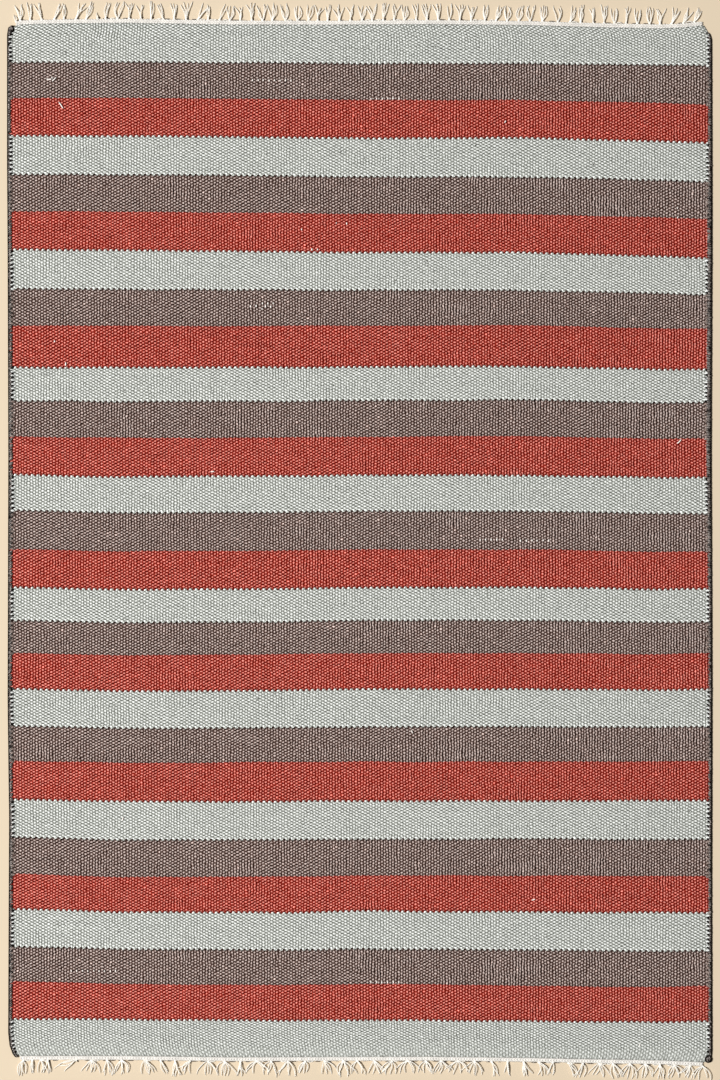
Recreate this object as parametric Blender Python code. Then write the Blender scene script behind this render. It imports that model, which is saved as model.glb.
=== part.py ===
"""Striped flatweave rug lying flat, face up.

Five pieces: the woven cloth, a wrapped yarn cord along each side, and at each end a twined
cotton band with the knotted warp fringe that grows out of it. All of them rest on Z = 0.
X runs across the rug, Y along it (the end with the closer tufts is at +Y), Z is up.
"""

import math
import random
from collections import namedtuple

import bmesh
import bpy
from mathutils import Vector

# Driving dimensions, in metres
RUG_WIDTH = 1.220
RUG_LENGTH = 1.868
CLOTH_THICK = 0.0042
CORD_WIDTH = 0.0068
CORD_HEIGHT = 0.0052
BAND_DEPTH = 0.0070
BAND_HEIGHT = 0.0046
STRAND_WIDTH = 0.0024
STRAND_HEIGHT = 0.0021
STRAND_LIFT = 0.0001
TOP_REACH = 0.0285
BOTTOM_REACH = 0.0254
KNOT_SIZE = 0.0042
FIT_GAP = 0.0003
WELD = 0.00001
MM = 0.001

# The outer edge of each end band, left to right, in millimetres. across: place over the
# width from the rug's middle; inset: how far in from the line of the fringe's tips.
EdgePlace = namedtuple("EdgePlace", "across inset")
TOP_EDGE = (
    EdgePlace(-597, 36.8),
    EdgePlace(-585, 33.6),
    EdgePlace(-519, 31.8),
    EdgePlace(-398, 30.8),
    EdgePlace(-225, 33.8),
    EdgePlace(-52, 34.1),
    EdgePlace(121, 33.0),
    EdgePlace(294, 34.8),
    EdgePlace(415, 38.4),
    EdgePlace(519, 40.6),
    EdgePlace(560, 38.8),
    EdgePlace(594, 35.2),
)
BOTTOM_EDGE = (
    EdgePlace(-589.8, 36.4),
    EdgePlace(-519, 36.7),
    EdgePlace(-398, 36.4),
    EdgePlace(-225, 34.2),
    EdgePlace(-52, 34.8),
    EdgePlace(121, 35.2),
    EdgePlace(294, 33.6),
    EdgePlace(415, 31.4),
    EdgePlace(519, 30.4),
    EdgePlace(595, 27.8),
)

# The middle line of each side cord, top end first. inset: in from the rug's side, in
# millimetres; along: from the rug's middle, in millimetres; size: the cord's thickness
# there as a share of its normal one.
CordPlace = namedtuple("CordPlace", "inset along size")
LEFT_CORD = (
    CordPlace(5.4, 892.4, 1.20),
    CordPlace(5.0, 884.0, 1.45),
    CordPlace(3.6, 874.0, 1.00),
    CordPlace(3.4, 500.0, 1.00),
    CordPlace(4.6, 150.0, 1.00),
    CordPlace(4.8, -250.0, 1.00),
    CordPlace(5.4, -600.0, 1.00),
    CordPlace(4.4, -850.0, 1.00),
    CordPlace(6.6, -872.0, 0.95),
    CordPlace(11.6, -886.0, 0.90),
    CordPlace(17.4, -893.4, 0.80),
)
RIGHT_CORD = (
    CordPlace(6.4, 878.0, 0.70),
    CordPlace(3.8, 868.0, 0.90),
    CordPlace(3.4, 500.0, 1.00),
    CordPlace(4.8, 150.0, 1.00),
    CordPlace(3.4, -250.0, 1.00),
    CordPlace(4.0, -600.0, 1.00),
    CordPlace(3.4, -880.0, 1.00),
    CordPlace(5.0, -887.5, 1.45),
    CordPlace(6.6, -894.5, 1.80),
    CordPlace(8.0, -901.0, 1.20),
)

# Tufts in sections of even spacing. start and end: places over the width from the rug's
# middle, in millimetres; signs: one sign for each tuft, for how its strands lie.
TuftRow = namedtuple("TuftRow", "start end signs")
TOP_TUFTS = (
    TuftRow(-594, -594, "a"),
    TuftRow(-588, -453, "V|\\/|//c"),
    TuftRow(-440, -321, "|OY||\\V"),
    TuftRow(-301, -151, "V/|/O|YOW"),
    TuftRow(-127, -18, "OOVY|WY"),
    TuftRow(2, 173, "WVYVO|WVVV"),
    TuftRow(194, 316, "VV/OOOW"),
    TuftRow(343, 579, "O/VYYO|OOV///"),
)
BOTTOM_TUFTS = (
    TuftRow(-565, -539, "\\/\\"),
    TuftRow(-492, -409, "<\\)A"),
    TuftRow(-372, -295, "/|AA"),
    TuftRow(-264, -153, "AA|\\A"),
    TuftRow(-125, -31, "AA)A"),
    TuftRow(-4, 257, "AA|AAAAAA|"),
    TuftRow(281, 359, "AAO/"),
    TuftRow(386, 571, "AA/AA|A("),
    TuftRow(590, 590, "A"),
)

# Each strand of a tuft: lean is its heading at the knot and bend how far it turns by its
# tip, in degrees (0 points straight out, positive to the right), reach its share of length.
Strand = namedtuple("Strand", "lean bend reach")
TUFT_SHAPES = {
    "|": (Strand(-7, 8, 1.0), Strand(7, -4, 0.95)),
    "/": (Strand(14, 8, 1.05), Strand(36, 4, 1.0)),
    "\\": (Strand(-14, -8, 1.05), Strand(-36, 4, 1.0)),
    "V": (Strand(-17, 6, 1.0), Strand(20, 4, 1.05)),
    "O": (Strand(-34, 50, 1.0), Strand(34, -46, 1.0)),
    "Y": (Strand(-9, -22, 1.05), Strand(10, 24, 1.0)),
    "W": (Strand(-20, 8, 0.95), Strand(2, 0, 1.05), Strand(22, -6, 0.95)),
    "A": (Strand(-36, 14, 1.0), Strand(2, -8, 1.1), Strand(38, -12, 1.0)),
    "<": (Strand(-80, 10, 1.0), Strand(-58, 8, 1.1)),
    ")": (Strand(8, -30, 0.9), Strand(44, -66, 1.15)),
    "(": (Strand(-40, 60, 1.1), Strand(-4, 16, 0.95)),
    "a": (Strand(-30, 10, 0.42), Strand(12, -20, 0.40)),
    "c": (Strand(-40, 70, 0.45),),
}

# How far the tufts stray from even: spacing in millimetres, tilt in degrees, share of length
SPACING_PLAY = 1.8
TILT_PLAY = 5
LENGTH_PLAY = (0.88, 1.08)

# Shares of a strand's turn and of its length, tried in this order where strands crowd
LAY_TRIES = ((1.0, 1.0), (0.7, 1.0), (0.4, 0.9), (0.15, 0.6), (0.0, 0.35))
CLEAR_WIDTHS = 1.2

# A strand starts this share of the band's depth inside the band, and its thickness falls
# from root to tip by these shares
ROOT_INSIDE = 0.4
ROOT_SIZES = (1.25, 1.1)
FREE_SIZES = (1.0, 0.9, 0.8)

END_TOP = 1
END_BOTTOM = -1
SIDE_LEFT = -1
SIDE_RIGHT = 1


def clear_scene():
    for thing in list(bpy.data.objects):
        bpy.data.objects.remove(thing)


def new_collection(name):
    collection = bpy.data.collections.new(name)
    bpy.context.scene.collection.children.link(collection)
    return collection


def new_material(name, colour, roughness):
    material = bpy.data.materials.new(name)
    material.use_nodes = True
    shader = material.node_tree.nodes["Principled BSDF"]
    shader.inputs["Base Color"].default_value = (*colour, 1.0)
    shader.inputs["Roughness"].default_value = roughness
    shader.inputs["Metallic"].default_value = 0.0
    return material


def add_guide(name, data):
    """An object that only shapes others."""
    guide = bpy.data.objects.new(name, data)
    guide.hide_render = True
    guide.display_type = "WIRE"
    guides.objects.link(guide)
    return guide


def add_part(name, mesh, material):
    part = bpy.data.objects.new(name, mesh)
    mesh.materials.clear()
    mesh.materials.append(material)
    rug.objects.link(part)
    return part


def solid_from_curve(curve):
    """The closed mesh of a curve object, its caps welded on; the curve is removed."""
    bpy.context.view_layer.update()
    evaluated = curve.evaluated_get(bpy.context.evaluated_depsgraph_get())
    mesh = bpy.data.meshes.new_from_object(evaluated)
    mesh.transform(curve.matrix_world)
    bpy.data.objects.remove(curve)
    body = bmesh.new()
    body.from_mesh(mesh)
    bmesh.ops.remove_doubles(body, verts=body.verts, dist=WELD)
    bmesh.ops.recalc_face_normals(body, faces=body.faces)
    body.to_mesh(mesh)
    body.free()
    return mesh


def section_curve(name, width, height, corners):
    """Closed cross-section with a flat base on its own X axis, rounded over the top."""
    data = bpy.data.curves.new(name, "CURVE")
    data.dimensions = "2D"
    spline = data.splines.new("POLY")
    spline.points.add(corners - 1)
    for number, point in enumerate(spline.points):
        turn = math.pi * number / (corners - 1)
        point.co = (width / 2 * math.cos(turn), height * math.sin(turn), 0.0, 1.0)
    spline.use_cyclic_u = True
    return add_guide(name, data)


def swept_mesh(name, routes, section):
    """Solid swept along each route; a route is a list of (x, y, z, size)."""
    data = bpy.data.curves.new(name, "CURVE")
    data.dimensions = "3D"
    data.twist_mode = "Z_UP"
    data.bevel_mode = "OBJECT"
    data.bevel_object = section
    data.use_fill_caps = True
    for route in routes:
        spline = data.splines.new("POLY")
        spline.points.add(len(route) - 1)
        for point, (x, y, z, size) in zip(spline.points, route):
            point.co = (x, y, z, 1.0)
            point.radius = size
    return solid_from_curve(add_guide(name, data))


def end_line(end, inward):
    """Points along an end, left to right, moved inward from the band's outer edge."""
    places = TOP_EDGE if end == END_TOP else BOTTOM_EDGE
    half = RUG_LENGTH / 2 - inward
    return [Vector((place.across * MM, end * (half - place.inset * MM))) for place in places]


def edge_point(end, across):
    """The point on the band's outer edge at one place over the width."""
    line = end_line(end, 0.0)
    for before, after in zip(line, line[1:]):
        if across <= after.x:
            return before.lerp(after, (across - before.x) / (after.x - before.x))
    return line[-1]


def cord_line(places, side):
    """The middle line of a side cord."""
    half = RUG_WIDTH / 2
    return [Vector((side * (half - place.inset * MM), place.along * MM)) for place in places]


def cloth_side(places, side):
    """The cloth's edge beside a cord, a fit gap in from the cord's inner flank."""
    middle = cord_line(places, side)
    line = []
    for number, (place, point) in enumerate(zip(places, middle)):
        ahead = middle[min(number + 1, len(middle) - 1)]
        behind = middle[max(number - 1, 0)]
        run = (ahead - behind).normalized()
        inward = Vector((side * run.y, -side * run.x))
        line.append(point + inward * (CORD_WIDTH / 2 * place.size + FIT_GAP * 2))
    return line


def build_cloth():
    """One flat woven sheet with the slightly wandering outline of the real weave."""
    inward = BAND_DEPTH + FIT_GAP
    top = end_line(END_TOP, inward)
    right = cloth_side(RIGHT_CORD, SIDE_RIGHT)
    bottom = end_line(END_BOTTOM, inward)
    left = cloth_side(LEFT_CORD, SIDE_LEFT)[1:]
    outline = top + right + list(reversed(bottom)) + list(reversed(left))
    data = bpy.data.curves.new("cloth_outline", "CURVE")
    data.dimensions = "2D"
    data.fill_mode = "BOTH"
    data.extrude = CLOTH_THICK / 2
    spline = data.splines.new("POLY")
    spline.points.add(len(outline) - 1)
    for point, place in zip(spline.points, outline):
        point.co = (place.x, place.y, 0.0, 1.0)
    spline.use_cyclic_u = True
    curve = add_guide("cloth_outline", data)
    curve.location.z = CLOTH_THICK / 2
    mesh = solid_from_curve(curve)
    add_part("cloth", mesh, new_material("wool_weave", (0.42, 0.37, 0.34), 0.95))


def build_side_cord(name, places, side):
    """Yarn wrapped over the outermost warps: a rounded cord, thicker where it is tied off."""
    section = section_curve(name + "_section", CORD_WIDTH, CORD_HEIGHT, corners=7)
    line = cord_line(places, side)
    route = [(point.x, point.y, 0.0, place.size) for point, place in zip(line, places)]
    mesh = swept_mesh(name, [route], section)
    add_part(name, mesh, new_material(name + "_yarn", (0.035, 0.032, 0.032), 0.9))


def strand_route(end, knot, strand, reach):
    """A strand's points from inside the band to its tip, resting level."""
    heading = math.radians(strand.lean)
    point = Vector((knot.x, knot.y - end * BAND_DEPTH * ROOT_INSIDE))
    route = [(point.x, point.y, STRAND_LIFT, ROOT_SIZES[0])]
    point += Vector((math.sin(heading) / 2, end / 2)) * BAND_DEPTH
    route.append((point.x, point.y, STRAND_LIFT, ROOT_SIZES[1]))
    steps = len(FREE_SIZES)
    for size in FREE_SIZES:
        heading += math.radians(strand.bend) / steps
        run = Vector((math.sin(heading), end * math.cos(heading)))
        point += run * reach * strand.reach / steps
        route.append((point.x, point.y, STRAND_LIFT, size))
    return route


def nearest_gap(points, line):
    """Smallest distance on the floor from any of some points to a line of points."""
    gap = RUG_WIDTH
    for point in points:
        place = Vector(point[:2])
        for before, after in zip(line, line[1:]):
            start = Vector(before[:2])
            run = Vector(after[:2]) - start
            share = (place - start).dot(run) / run.length_squared
            nearest = start + run * min(1.0, max(0.0, share))
            gap = min(gap, (place - nearest).length)
    return gap


def lies_clear(route, others):
    """Whether the outer part of a strand keeps off the strands that are laid already."""
    free = len(ROOT_SIZES) + 1
    for other in others:
        gap = min(nearest_gap(route[free:], other), nearest_gap(other[free:], route))
        if gap < STRAND_WIDTH * CLEAR_WIDTHS:
            return False
    return True


def lay_strands(end, knot, sign, reach, tilt, laid):
    """Adds a tuft's strands, each straightened or shortened until it lies clear."""
    for shape in TUFT_SHAPES[sign]:
        for turned, kept in LAY_TRIES:
            lean = shape.lean * turned + tilt
            strand = Strand(lean, shape.bend * turned, shape.reach * kept)
            route = strand_route(end, knot, strand, reach)
            if lies_clear(route, laid):
                laid.append(route)
                break


def tuft_places(rows):
    """Every tuft's place over the width, in millimetres, with its sign."""
    for row in rows:
        pitch = (row.end - row.start) / max(1, len(row.signs) - 1)
        for number, sign in enumerate(row.signs):
            yield row.start + pitch * number, sign


def add_knots(body, knots):
    """The small domed knots of the tufts, loose in one mesh."""
    for knot in knots:
        made = bmesh.ops.create_cone(
            body,
            cap_ends=True,
            segments=5,
            radius1=KNOT_SIZE / 2,
            radius2=KNOT_SIZE / 4,
            depth=KNOT_SIZE,
        )
        centre = Vector((knot.x, knot.y, KNOT_SIZE / 2 + STRAND_LIFT))
        bmesh.ops.translate(body, verts=made["verts"], vec=centre)


def build_fringe(name, end, rows, reach, seed):
    """A twined cotton band with a row of knotted tufts of loose warp ends."""
    chance = random.Random(seed)
    knots = []
    strands = []
    for place, sign in tuft_places(rows):
        across = (place + chance.uniform(-SPACING_PLAY, SPACING_PLAY)) * MM
        knot = edge_point(end, across)
        knots.append(knot)
        length = reach * chance.uniform(*LENGTH_PLAY)
        tilt = chance.uniform(-TILT_PLAY, TILT_PLAY)
        lay_strands(end, knot, sign, length, tilt, strands)
    strand_section = section_curve(name + "_strand", STRAND_WIDTH, STRAND_HEIGHT, corners=3)
    body = bmesh.new()
    body.from_mesh(swept_mesh(name + "_strands", strands, strand_section))
    add_knots(body, knots)
    loose_mesh = bpy.data.meshes.new(name + "_loose")
    body.to_mesh(loose_mesh)
    body.free()
    band_section = section_curve(name + "_band", BAND_DEPTH, BAND_HEIGHT, corners=5)
    band_route = [(point.x, point.y, 0.0, 1.0) for point in end_line(end, BAND_DEPTH / 2)]
    band_mesh = swept_mesh(name, [band_route], band_section)
    part = add_part(name, band_mesh, new_material(name + "_cotton", (0.80, 0.76, 0.68), 0.9))
    union = part.modifiers.new("fuse_roots", "BOOLEAN")
    union.operation = "UNION"
    union.solver = "EXACT"
    union.use_self = True
    union.object = add_guide(name + "_loose", loose_mesh)


clear_scene()
rug = new_collection("flatweave_rug")
guides = new_collection("guides")
build_cloth()
build_side_cord("selvedge_left", LEFT_CORD, SIDE_LEFT)
build_side_cord("selvedge_right", RIGHT_CORD, SIDE_RIGHT)
build_fringe("fringe_top", END_TOP, TOP_TUFTS, TOP_REACH, seed=3)
build_fringe("fringe_bottom", END_BOTTOM, BOTTOM_TUFTS, BOTTOM_REACH, seed=8)
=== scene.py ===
"""Looks for the striped flatweave rug: its cloth, whipped sides, twined ends and fringe."""

import math
import random
from functools import partial

import bmesh
import bpy
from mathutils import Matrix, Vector, noise


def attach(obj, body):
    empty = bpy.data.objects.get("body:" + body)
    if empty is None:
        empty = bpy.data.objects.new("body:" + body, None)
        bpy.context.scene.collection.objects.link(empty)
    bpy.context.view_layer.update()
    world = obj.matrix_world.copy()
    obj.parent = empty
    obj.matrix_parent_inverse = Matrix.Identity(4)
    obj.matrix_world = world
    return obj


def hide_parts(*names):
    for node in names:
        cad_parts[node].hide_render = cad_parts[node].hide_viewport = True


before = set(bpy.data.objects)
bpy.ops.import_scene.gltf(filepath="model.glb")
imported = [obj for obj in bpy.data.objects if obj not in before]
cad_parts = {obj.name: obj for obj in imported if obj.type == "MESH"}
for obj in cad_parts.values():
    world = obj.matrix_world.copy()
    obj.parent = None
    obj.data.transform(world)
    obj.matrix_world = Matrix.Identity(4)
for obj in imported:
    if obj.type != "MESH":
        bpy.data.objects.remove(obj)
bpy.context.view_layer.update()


# The cloth. A weft-faced wool flatweave: each weft goes over one cotton warp and under the next
# and is beaten down until the warps are hidden, so the face is a brick bond of yarn grains.
# Nine repeats of a pale, a brown and a red stripe and a last pale one, woven one after another.
MM = 0.001

# In millimetres: the rug from tip to tip of its fringe, how deep each end's band is, the width
# that the colour lines are worked out over, and what one weft takes up along the rug
RUG_LENGTH = 1868.0
BAND_DEPTH = 7.0
LINE_SPAN = 1204
PICK = 2.62

# The weave has a point at each warp and one between each two
WARPS = 248
HALF_WARPS = WARPS * 2

# Lines where the colour changes, from the rug's middle, top first, in millimetres
STRIPE_LINES = (
    825, 761, 695, 629, 565, 498, 433, 371, 299, 242, 179, 112, 51, -16,
    -82, -138, -195, -258, -322, -383, -451, -516, -580, -642, -706, -767, -830,
)

# How far the lines droop below level, in millimetres. Across: places over the width. Each row:
# its place along the rug, then the droop at each of those places.
SAG_ACROSS = (-588, -415, -138, 0, 277, 519, 580, 604)
SAG_ROWS = (
    (900, 0, 0, 0, 0, 0, 0, 0, 0),
    (770, -3.5, -4, -2.4, 0, -0.5, 4.6, 6.4, 8),
    (500, -4.6, -3.5, -0.6, 0, 1.2, 6.9, 9.8, 10.6),
    (370, 0, 0, 0, 0, -0.9, 5.2, 5.2, 5.2),
    (240, 0, 1.7, 0.9, 0, -1.7, 3.5, 3.5, 3.5),
    (60, -1.7, 3, 2, 0, 0.5, 3.9, 3.9, 3.9),
    (-140, 0.4, 3.9, 2.6, 0, 0, 3, 2.2, 2.2),
    (-300, -0.8, 3.4, 2.2, 0, 0, 0.4, -1, -1),
    (-400, -1.6, 1.6, 0.6, 0, 0, -0.6, -1, -1),
    (-600, -3.5, 2.3, 2.3, 0, 0, 1.2, 1.2, 1.2),
    (-770, -4.6, 0, 2.3, 0, 3.9, 6, 4.4, 4.4),
    (-900, 0, 0, 0, 0, 0, 0, 0, 0),
)

# The outer edge of each end's cotton band: place over the width, and how far in it is from
# the line of the fringe's tips, in millimetres
TOP_EDGE = (
    (-597, 36.8), (-585, 33.6), (-519, 31.8), (-398, 30.8), (-225, 33.8), (-52, 34.1),
    (121, 33), (294, 34.8), (415, 38.4), (519, 40.6), (560, 38.8), (594, 35.2),
)
BOTTOM_EDGE = (
    (-589.8, 36.4), (-519, 36.7), (-398, 36.4), (-225, 34.2), (-52, 34.8),
    (121, 35.2), (294, 33.2), (415, 30.6), (519, 29), (595, 25.6),
)

# The cloth's two sides, top first: place along the rug and place over the width
LEFT_SIDE = (
    (892, -602), (884, -603), (874, -606.4), (500, -606.8), (150, -605.6), (-250, -605.4),
    (-600, -604.8), (-850, -605.6), (-872, -603.6), (-884, -600), (-892, -594.5),
)
RIGHT_SIDE = (
    (891.5, 595.5), (878, 604), (868, 606.6), (500, 606.8), (150, 605.6), (-250, 606.8),
    (-600, 606.2), (-880, 606.8), (-890, 604.4), (-901, 600),
)

# Heights in millimetres: the face's middle height, how far its grains stand out from that, how
# far the whole face swells, how much lower its last warps lie, the turned-down sides, the back
FACE = 3.35
RELIEF = 1.0
SWELL = 0.3
SIDE_DROP = 0.9
HEM = 1.3
BACK = 0.15

# Shares of a row: how far the yarn's slant moves the points between columns, and how far a
# grain's tip reaches into the next colour
LEAN_SHIFT = 0.2
TOOTH = 0.16

# The same, for how far its shoulders fall back from the line, where it is pale and where it is
# dark. Between brown and red, which are close in tone, both tips and shoulders fall back.
NOTCH = 0.28
ROUND_NOTCH = 0.06
CLOSE_TOOTH = -0.26
CLOSE_NOTCH = 0.34

# Shares of the relief: how much a tip is raised and its shoulders lowered, how much of that is
# left between brown and red, and how far the twist tilts the yarn between two warps
TIP_RISE = 0.9
SHOULDER_DROP = 0.3
CLOSE_RISE = 0.15
TWIST_TILT = 0.12

# How far points stray, in millimetres, along the face and in height, and how far warps wander
STRAY = 0.34
STRAY_HEIGHT = 0.2
WARP_WANDER = 0.7

# How much the band holds the beater off the last rows, which makes them taller, and how much of
# the relief about the last eight lose
LAST_ROWS = 0.1
CALM_SHARE = 0.38
CALM_ROWS = 8

# Lowest, usual and highest share to which the weft is beaten together
BEATEN_PALE = (0.1, 0.24, 0.42)
BEATEN_DARK = (0.1, 0.36, 0.7)


def blend_table(table, place):
    """The value at a place in a table of (place, value) that runs up or down."""
    rising = table[0][0] < table[-1][0]
    for (start, first), (end, last) in zip(table, table[1:]):
        if (place <= end) == rising or place == end:
            share = (place - start) / (end - start)
            return first + (last - first) * max(0.0, min(1.0, share))
    return table[-1][1]


def edge_y(end, across, inward):
    """Place along the rug of a line inward of an end's outer edge; end is 1, the top, or -1."""
    edge = TOP_EDGE if end == 1 else BOTTOM_EDGE
    return end * (RUG_LENGTH / 2 - inward - blend_table(edge, across))


def line_height(number, across):
    """Where a colour line runs at one place over the width; the first and last meet the bands."""
    if number == 0:
        return edge_y(1, across, BAND_DEPTH)
    if number == len(STRIPE_LINES) + 1:
        return edge_y(-1, across, BAND_DEPTH)
    level = STRIPE_LINES[number - 1]
    drops = [(row[0], blend_table(tuple(zip(SAG_ACROSS, row[1:])), across)) for row in SAG_ROWS]
    # the line wavers by a millimetre or so, about every 80 mm
    wave = noise.noise(Vector((across * 0.012, number * 3.7, 0.5))) * 1.3
    return level - blend_table(drops, level) + wave


# The colour lines at the rug's middle, the row of weft at each, and the lines' whole run
middle_lines = [line_height(0, 0.0), *STRIPE_LINES, line_height(len(STRIPE_LINES) + 1, 0.0)]
row_starts = [0]
for above, below in zip(middle_lines, middle_lines[1:]):
    row_starts.append(row_starts[-1] + round((above - below) / PICK))
places = [(step / HALF_WARPS - 0.5) * LINE_SPAN for step in range(HALF_WARPS + 1)]
woven_lines = []
for number in range(len(middle_lines)):
    woven_lines.append([line_height(number, place) for place in places])


def linear(colour):
    """An sRGB hex colour as the linear values that nodes take."""
    parts = [int(colour[place:place + 2], 16) / 255 for place in (1, 3, 5)]
    return (*(p / 12.92 if p < 0.04045 else ((p + 0.055) / 1.055) ** 2.4 for p in parts), 1.0)


def add_node(tree, kind, inputs=(), stops=(), **settings):
    """Adds a shader node with its inputs, its ramp's colour stops and its settings. An input is
    a value, an output to link, or a node, whose first output is linked."""
    node = tree.nodes.new("ShaderNode" + kind)
    for name, value in settings.items():
        setattr(node, name, value)
    for name, value in dict(inputs).items():
        if isinstance(value, bpy.types.Node):
            value = value.outputs[0]
        if isinstance(value, bpy.types.NodeSocket):
            tree.links.new(value, node.inputs[name])
        else:
            node.inputs[name].default_value = value
    for number, (place, colour) in enumerate(stops):
        elements = node.color_ramp.elements
        element = elements[number] if number < 2 else elements.new(place)
        element.position = place
        element.color = linear(colour)
    return node


def new_material(name, roughness, sheen):
    """A material set for matt fibre, its shader, and what adds a node to it."""
    material = bpy.data.materials.new(name)
    material.use_nodes = True
    shader = material.node_tree.nodes["Principled BSDF"]
    shader.inputs["Roughness"].default_value = roughness
    shader.inputs["Sheen Weight"].default_value = sheen
    shader.inputs["Sheen Roughness"].default_value = 0.5
    shader.inputs["Specular IOR Level"].default_value = 0.06
    return material, shader, partial(add_node, material.node_tree)


def finish_fibre(add, shader, colour, tone, height, depth, strength):
    """Gives the shader its colour, made lighter or darker by a tone, and its bump."""
    dyed = add("HueSaturation", {"Value": tone, "Color": colour})
    bump = add("Bump", {"Height": height, "Distance": depth, "Strength": strength})
    links = shader.id_data.links
    links.new(dyed.outputs["Color"], shader.inputs["Base Color"])
    links.new(bump.outputs["Normal"], shader.inputs["Normal"])


def wool_material(name, tones, twist, wander, flecks, uneven, edge_tone):
    """Beaten-down wool weft. twist: how much of the slant falls to the right; wander: how far
    its grains move from even; flecks: how much lighter its rare pale grains are; uneven: how far
    grains differ in tone; edge_tone: its tone next to another colour, painted shade where it is
    below 1 and a painted highlight where above; tones: the painted shade in a groove, a lighter
    painted shade, the body, and the painted highlight on the crest of a grain."""
    material, shader, add = new_material(name, roughness=0.95, sheen=0.0)
    place = add("TexCoord").outputs["Object"]
    weave = add("UVMap", uv_map="weave")
    # the hand-spun weft wanders: a swell about every 9 mm moves the grains a little
    swell = add("TexNoise", {"Vector": place, "Scale": 1 / 0.009, "Detail": 2.0})
    moved = add(
        "VectorMath", {0: swell.outputs["Color"], 1: (wander, wander, 0.0), 2: weave},
        operation="MULTIPLY_ADD",
    )
    parts = add("SeparateXYZ", {0: moved})
    across = parts.outputs[0]
    down = parts.outputs[1]
    # a grain is the crest of a wave along one of the two diagonals, as it slants with the twist
    waves = []
    for operation in ("ADD", "SUBTRACT"):
        diagonal = add("Math", {0: across, 1: down}, operation=operation)
        turn = add("Math", {0: diagonal, 1: math.pi}, operation="MULTIPLY")
        waves.append(add("Math", {0: turn}, operation="COSINE"))
    # the slant is stronger in some patches, about 70 mm apart, than in others
    patches = add("TexNoise", {"Vector": place, "Scale": 1 / 0.070})
    slant = add("MapRange", {
        "Value": patches, "From Min": 0.3, "From Max": 0.7,
        "To Min": twist - 0.06, "To Max": twist + 0.06,
    })
    grain = add("Mix", {0: slant, 2: waves[0], 3: waves[1]})
    turn = add("Math", {0: across, 1: 2 * math.pi}, operation="MULTIPLY")
    column = add("Math", {0: turn}, operation="COSINE")
    # where the weft is beaten together, the columns show as ribs more than the grains do
    beaten = add("Attribute", attribute_name="beaten").outputs["Fac"]
    ribbed = add("Mix", {0: beaten, 2: grain, 3: column})
    # the last rows are packed flat against the band, and show much less of either
    calm = add("Attribute", attribute_name="calm").outputs["Fac"]
    packed = add("Mix", {0: calm, 2: ribbed, 3: 0.1})
    # loose fibre on the yarn, drawn about 1.6 mm coarse so that it shows
    fibre = add("TexNoise", {"Vector": place, "Scale": 1 / 0.0016, "Detail": 2.0})
    fuzz = add("Math", {0: fibre, 1: 2.0, 2: packed}, operation="MULTIPLY_ADD")
    level = add("MapRange", {"Value": fuzz, "From Min": 0.45, "From Max": 1.9})
    # the ramp paints shade into the grooves and a highlight on the crests
    ramp = add("ValToRGB", {"Fac": level}, zip((0.0, 0.3, 0.62, 0.95), tones))
    # each grain takes the dye a little differently, and so does each length of weft
    column_number = add("Math", {0: across}, operation="ROUND")
    slot = add("Math", {0: down, 1: column_number}, operation="ADD")
    half = add("Math", {0: slot, 1: 0.5}, operation="MULTIPLY")
    grain_number = add("Math", {0: half}, operation="ROUND")
    cell = add("CombineXYZ", {0: column_number, 1: grain_number})
    chance = add("TexWhiteNoise", {"Vector": cell}, noise_dimensions="2D")
    grain_tone = add("MapRange", {"Value": chance, "To Min": 1 - uneven, "To Max": 1 + uneven})
    stretched = add("VectorMath", {0: weave, 1: (0.03, 0.6, 1.0)}, operation="MULTIPLY")
    lengths = add("TexNoise", {"Vector": stretched, "Scale": 1.0})
    row_tone = add("MapRange", {
        "Value": lengths, "From Min": 0.25, "From Max": 0.75, "To Min": 0.94, "To Max": 1.06,
    })
    # about one grain in a hundred has taken less of the dye
    undyed = add("MapRange", {
        "Value": chance, "From Min": 0.985, "From Max": 0.999, "To Max": flecks,
    })
    tone = add("Math", {0: grain_tone, 1: row_tone, 2: undyed}, operation="MULTIPLY_ADD")
    # where two colours meet, the dark ones are drawn darker, painted shade as of the pale one's
    # grains, and the pale ones lighter, a painted highlight on their tips
    edge = add("Attribute", attribute_name="colour_edge").outputs["Fac"]
    edge_shade = add("MapRange", {"Value": edge, "To Min": 1.0, "To Max": edge_tone})
    shaded = add("Math", {0: tone, 1: edge_shade}, operation="MULTIPLY")
    finish_fibre(add, shader, ramp, shaded, fuzz, depth=0.0006, strength=0.5)
    return material


# Undyed pale wool, pale grey with a painted highlight on its crests, its twist falling to the
# right. Brown and brick red wool, with near-black painted shade in the grooves and a painted
# highlight on the crests, a twist that rises to the right and clear ribs.
pale_wool = wool_material(
    "undyed_pale_wool", ("#4e504a", "#9fa19a", "#c4c6c0", "#f1f2ef"),
    twist=0.56, wander=0.7, flecks=0.0, uneven=0.06, edge_tone=1.6,
)
brown_wool = wool_material(
    "taupe_brown_wool", ("#060100", "#503a32", "#96827b", "#cfc0b9"),
    twist=0.45, wander=0.9, flecks=0.5, uneven=0.1, edge_tone=0.05,
)
red_wool = wool_material(
    "brick_red_wool", ("#3a0000", "#861a0c", "#be5a4d", "#e6998d"),
    twist=0.45, wander=0.9, flecks=0.3, uneven=0.12, edge_tone=0.25,
)
wools = (pale_wool, brown_wool, red_wool)


def place_object(name, data):
    """A new object in the scene, at the origin."""
    thing = bpy.data.objects.new(name, data)
    bpy.context.scene.collection.objects.link(thing)
    return thing


def finish_piece(name, body, materials, node):
    """Turns a finished bmesh into a piece of the rug that stands for a CAD node."""
    mesh = bpy.data.meshes.new(name)
    body.to_mesh(mesh)
    body.free()
    for material in materials:
        mesh.materials.append(material)
    piece = place_object(name, mesh)
    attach(piece, "root")
    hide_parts(node)
    return piece


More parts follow.
